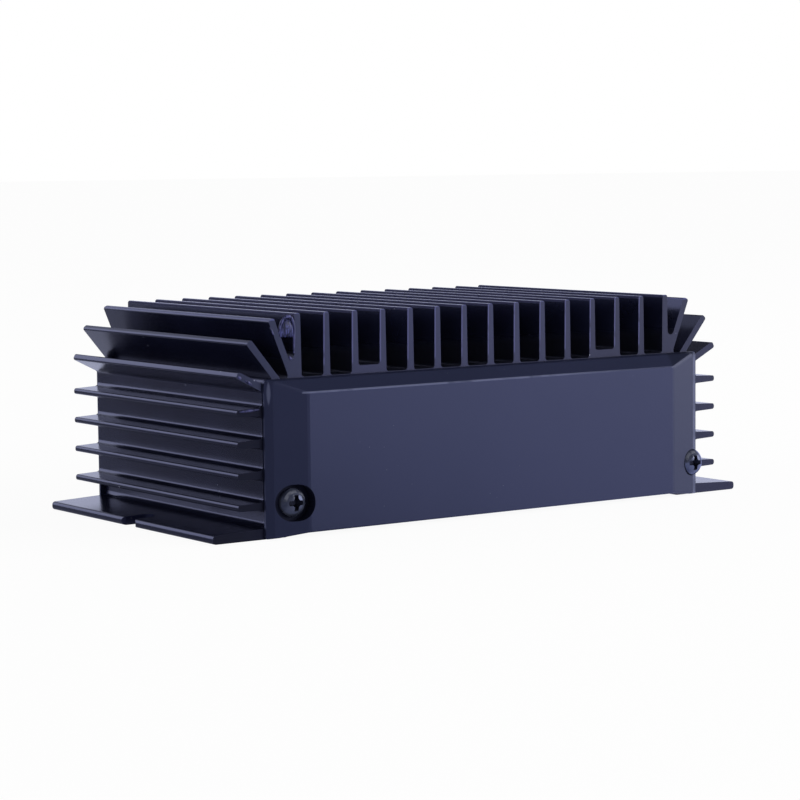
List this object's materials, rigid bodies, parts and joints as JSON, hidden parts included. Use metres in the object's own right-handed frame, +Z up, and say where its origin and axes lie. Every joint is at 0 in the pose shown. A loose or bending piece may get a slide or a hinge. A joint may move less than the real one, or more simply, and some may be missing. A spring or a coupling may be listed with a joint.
{
  "type": "hf linear amplifier",
  "caption": "Compact RF power amplifier: finned heatsink housing with mounting flanges, bevelled screwed end covers, coax sockets and a power lead entry at the rear.",
  "frame": {"origin": "middle of the base: in the plane of the flange undersides, midway between the two flange slots", "axes": "+X to the right seen from the front, +Y from the front cover to the rear cover, +Z up"},
  "size_m": [0.1396, 0.0882, 0.0455],
  "materials": {
    "painted_metal": "satin black",
    "screw_steel": "zinc plated",
    "nickel_plate": "nickel plated",
    "brass_turned": "turned",
    "socket_plastic": "moulded",
    "board_laminate": "solder mask",
    "package_plastic": "moulded",
    "thermal_pad": "soft sheet",
    "relay_plastic": "moulded",
    "bobbin_plastic": "moulded",
    "relay_iron": "bright",
    "spring_bronze": "rolled",
    "copper_wire": "enamelled",
    "ferrite": "sintered",
    "can_sleeve": "shrunk sleeve",
    "ceramic_coat": "dipped",
    "resistor_coat": "dipped",
    "diode_plastic": "moulded",
    "tinned_tag": "tinned",
    "wire_sleeve": "extruded",
    "grommet_rubber": "moulded"
  },
  "bodies": {
    "amplifier": {"heatsink_housing": "painted_metal", "front_cover": "painted_metal", "rear_cover": "painted_metal", "bottom_plate": "painted_metal", "front_cover_screws": "screw_steel", "rear_cover_screws": "screw_steel", "bottom_plate_screws": "screw_steel", "board_screws": "screw_steel", "transistor_screws": "screw_steel", "socket_screws": "screw_steel", "socket_nuts": "screw_steel", "radio_socket_shell": "nickel_plate", "antenna_socket_shell": "nickel_plate", "board_standoffs": "brass_turned", "radio_socket_contact": "brass_turned", "antenna_socket_contact": "brass_turned", "radio_socket_insulator": "socket_plastic", "antenna_socket_insulator": "socket_plastic", "circuit_board": "board_laminate", "rf_transistor_left": "package_plastic", "rf_transistor_right": "package_plastic", "keying_transistor": "package_plastic", "transistor_insulator_left": "thermal_pad", "transistor_insulator_right": "thermal_pad", "relay_base": "relay_plastic", "relay_case": "relay_plastic", "relay_bobbin": "bobbin_plastic", "relay_yoke": "relay_iron", "relay_fixed_contacts": "spring_bronze", "relay_winding": "copper_wire", "input_transformer_winding": "copper_wire", "output_transformer_winding": "copper_wire", "choke_winding": "copper_wire", "filter_coil_1": "copper_wire", "filter_coil_2": "copper_wire", "filter_coil_3": "copper_wire", "input_transformer_core": "ferrite", "output_transformer_core": "ferrite", "choke_core": "ferrite", "electrolytic_capacitor": "can_sleeve", "ceramic_capacitors": "ceramic_coat", "resistors": "resistor_coat", "bias_diodes": "diode_plastic", "power_terminals": "tinned_tag", "radio_socket_wire": "wire_sleeve", "antenna_socket_wire": "wire_sleeve", "power_grommet": "grommet_rubber"},
    "armature": {"relay_armature": "relay_iron", "relay_blade": "spring_bronze"}
  },
  "joints": [
    {"name": "relay_armature_hinge", "type": "hinge", "parent": "amplifier", "child": "armature", "pos_m": [-0.0076, 0.0125, 0.0105], "axis": [0, -1, 0], "range_deg": [0, 3.2], "stiffness_Nm_per_rad": 0.01, "springref_deg": -2.86}
  ]
}
